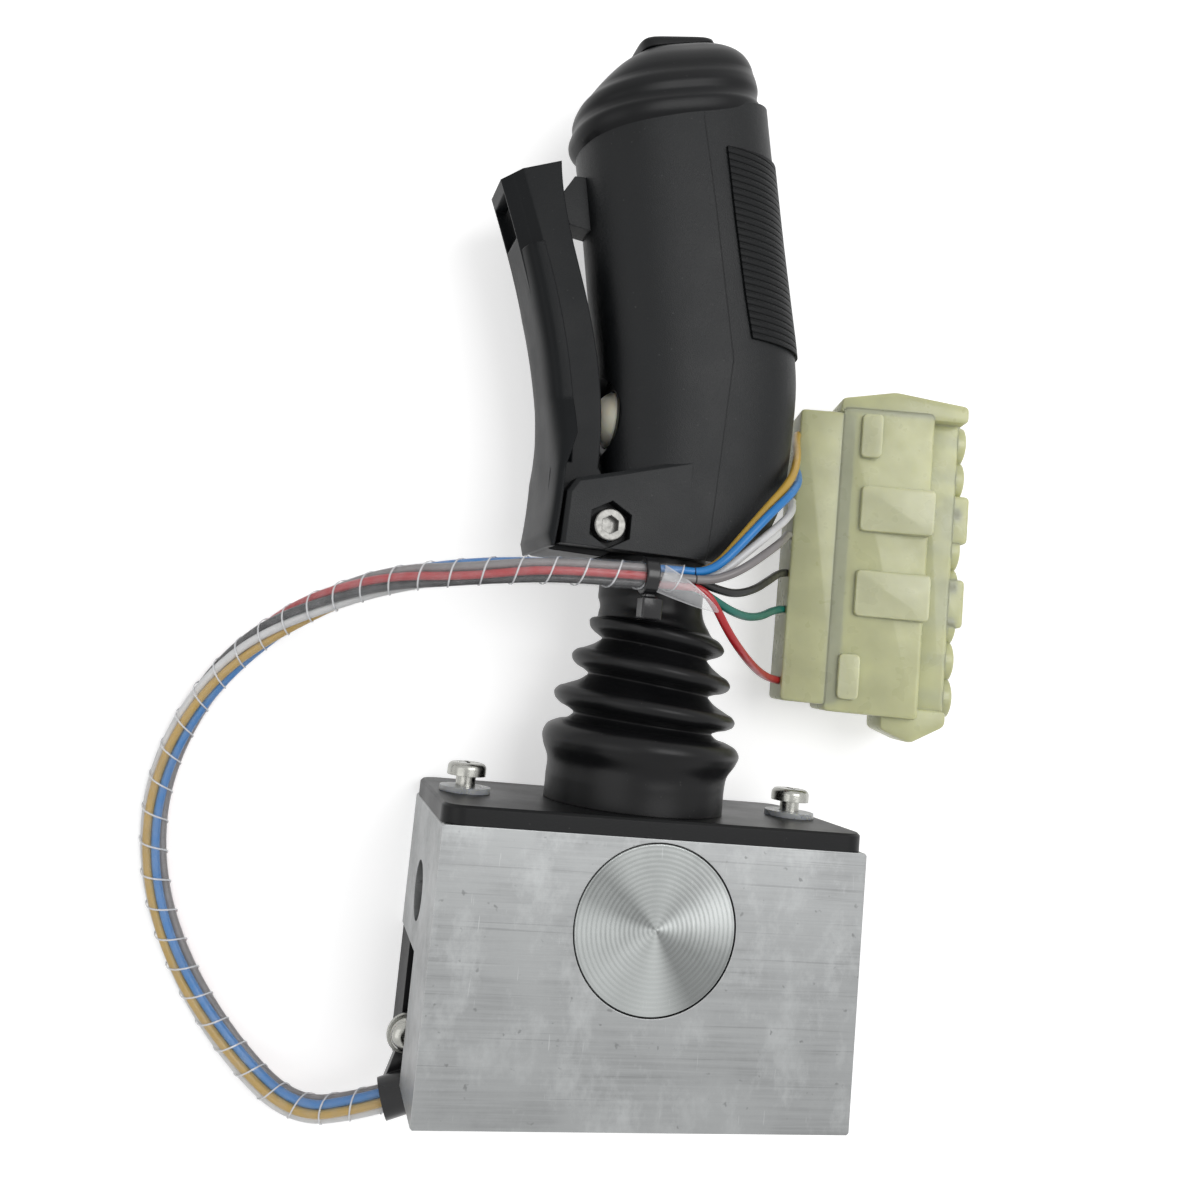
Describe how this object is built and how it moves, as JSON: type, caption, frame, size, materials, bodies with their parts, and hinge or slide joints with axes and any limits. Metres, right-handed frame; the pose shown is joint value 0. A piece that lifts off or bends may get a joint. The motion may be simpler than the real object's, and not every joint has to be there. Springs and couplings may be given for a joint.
{
  "type": "industrial joystick",
  "caption": "Single-axis lever joystick: block housing with pivot, rubber bellows, grip with trigger and thumb rocker, and a wire harness with plug.",
  "frame": {"origin": "where the lever's pivot axis meets the back face of the housing, which it lies on", "axes": "+Z along the pivot axis to the round front cap, +Y along the lever at rest to the grip, +X across the block"},
  "size_m": [0.2021, 0.287, 0.0508],
  "materials": {
    "bare_aluminium": "as cut, faint saw and mill marks",
    "turned_aluminium": "turned face",
    "plate_black": "black hard coat, satin",
    "cover_black": "black powder coat",
    "zinc_plated": "bright zinc plating",
    "ground_steel": "ground",
    "spring_steel": "drawn wire",
    "black_oxide": "black oxide",
    "magnet_nickel": "nickel plated",
    "board_green": "solder mask",
    "switch_black": "moulded",
    "grip_black": "fine spark-eroded grain",
    "trigger_black": "fine grain",
    "rubber_black": "soft, slightly shiny",
    "boot_black": "moulded rubber",
    "cream_plastic": "smooth",
    "natural_nylon": "natural nylon, slightly translucent",
    "clear_nylon": "translucent",
    "tinned_brass": "tin plated",
    "tie_black": "moulded nylon",
    "clear_wrap": "clear wrap over coloured wires",
    "wire_yellow": "wire insulation",
    "wire_blue": "wire insulation",
    "wire_white": "wire insulation",
    "wire_grey": "wire insulation",
    "wire_black": "wire insulation",
    "wire_green": "wire insulation",
    "wire_red": "wire insulation"
  },
  "bodies": {
    "base": {"housing_block": "bare_aluminium", "top_plate": "plate_black", "back_cover": "cover_black", "cover_screws": "black_oxide", "pivot_cap": "turned_aluminium", "front_bearing": "ground_steel", "rear_bearing": "ground_steel", "centring_spring": "spring_steel", "spring_post": "ground_steel", "sensor_board": "board_green", "board_screws": "zinc_plated", "neutral_switch": "switch_black", "switch_screws": "zinc_plated", "panel_screws": "zinc_plated", "panel_washers": "clear_nylon", "cable_clip": "tie_black", "clip_screw": "zinc_plated", "clip_washer": "zinc_plated", "boot": "boot_black", "harness_bundle": "clear_wrap"},
    "lever": {"pivot_shaft": "ground_steel", "sensor_magnet": "magnet_nickel", "bearing_inner_rings": "ground_steel", "lever_hub": "ground_steel", "hub_screw": "black_oxide", "lever_rod": "ground_steel", "neck_collar": "switch_black", "grip_front_shell": "grip_black", "grip_back_shell": "grip_black", "grip_pad": "rubber_black", "grip_cap": "rubber_black", "trigger_catch": "grip_black", "trigger_bolt": "black_oxide", "trigger_nut": "black_oxide", "switch_bezel": "rubber_black", "enable_switch": "switch_black", "rocker_switch": "switch_black", "rocker_pin": "ground_steel", "connector_housing": "natural_nylon", "contacts": "tinned_brass", "zip_tie": "tie_black", "trigger_spring": "spring_steel", "wire_yellow": "wire_yellow", "wire_blue": "wire_blue", "wire_white": "wire_white", "wire_grey": "wire_grey", "wire_black": "wire_black", "wire_green": "wire_green", "wire_red": "wire_red"},
    "trigger": {"trigger": "trigger_black"},
    "plunger": {"switch_plunger": "cream_plastic"},
    "rocker": {"rocker_button": "rubber_black"}
  },
  "joints": [
    {"name": "lever_tilt", "type": "hinge", "parent": "base", "child": "lever", "pos_m": [0, 0, 0.0254], "axis": [0, 0, 1], "range_deg": [-20, 20], "stiffness_Nm_per_rad": 1.2, "deforming": ["centring_spring", "boot", "harness_bundle"]},
    {"name": "trigger_pull", "type": "hinge", "parent": "lever", "child": "trigger", "pos_m": [-0.0173, 0.0911, 0.0254], "axis": [0, 0, -1], "range_deg": [0, 4], "stiffness_Nm_per_rad": 0.4, "deforming": ["trigger_spring"]},
    {"name": "plunger_slide", "type": "slide", "parent": "lever", "child": "plunger", "axis": [1, 0, 0], "range_m": [0, 0.0021], "stiffness_N_per_m": 10},
    {"name": "rocker_tilt", "type": "hinge", "parent": "lever", "child": "rocker", "pos_m": [-0.00226, 0.21541, 0.0254], "axis": [0.9348, 0.3551, 0], "range_deg": [-8, 8], "stiffness_Nm_per_rad": 0.06}
  ],
  "couplings": [
    {"joint": "plunger_slide", "follows": "trigger_pull", "m_per_rad": 0.0292}
  ]
}
